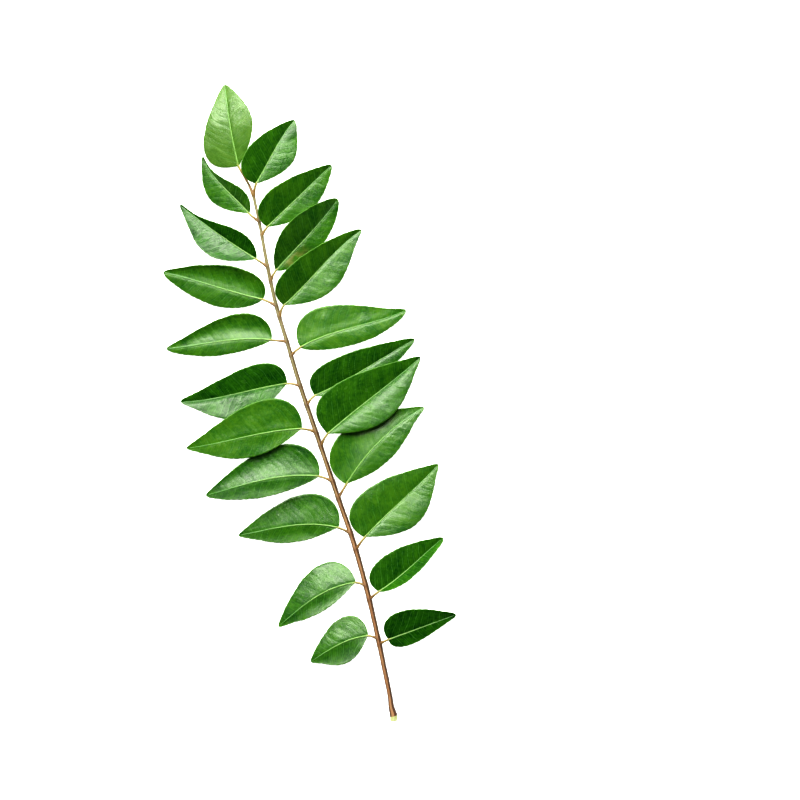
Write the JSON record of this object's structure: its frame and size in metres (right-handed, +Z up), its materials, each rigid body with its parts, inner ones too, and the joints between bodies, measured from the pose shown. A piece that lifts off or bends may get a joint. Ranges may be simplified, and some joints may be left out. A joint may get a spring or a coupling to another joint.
{
  "type": "curry leaf sprig",
  "caption": "Sprig of fresh curry leaves lying flat: a slender brown leaf stalk with a flared cut end, glossy pointed side leaflets and an end leaflet.",
  "frame": {"origin": "on the surface it lies on, under the middle of the sprig's box", "axes": "+Y along the sprig from the cut end to the tip of the end leaflet, +Z up from the surface it lies on, +X to the right seen from above"},
  "size_m": [0.087, 0.2298, 0.0077],
  "materials": {
    "stalk": "smooth brown bark, satin",
    "leaf": "waxy, semi-gloss, fine veins",
    "young_leaf": "waxy, semi-gloss, fine veins"
  },
  "bodies": {
    "root": {"rachis": "stalk", "leaflet_terminal": "young_leaf", "leaflet_left_01": "leaf", "leaflet_left_02": "leaf", "leaflet_left_03": "leaf", "leaflet_left_04": "leaf", "leaflet_left_05": "leaf", "leaflet_left_06": "leaf", "leaflet_left_07": "leaf", "leaflet_left_08": "leaf", "leaflet_left_09": "leaf", "leaflet_left_10": "leaf", "leaflet_right_01": "leaf", "leaflet_right_02": "leaf", "leaflet_right_03": "leaf", "leaflet_right_04": "leaf", "leaflet_right_05": "leaf", "leaflet_right_06": "leaf", "leaflet_right_07": "leaf", "leaflet_right_08": "leaf", "leaflet_right_09": "leaf", "leaflet_right_10": "leaf", "leaflet_right_11": "leaf"}
  },
  "joints": []
}
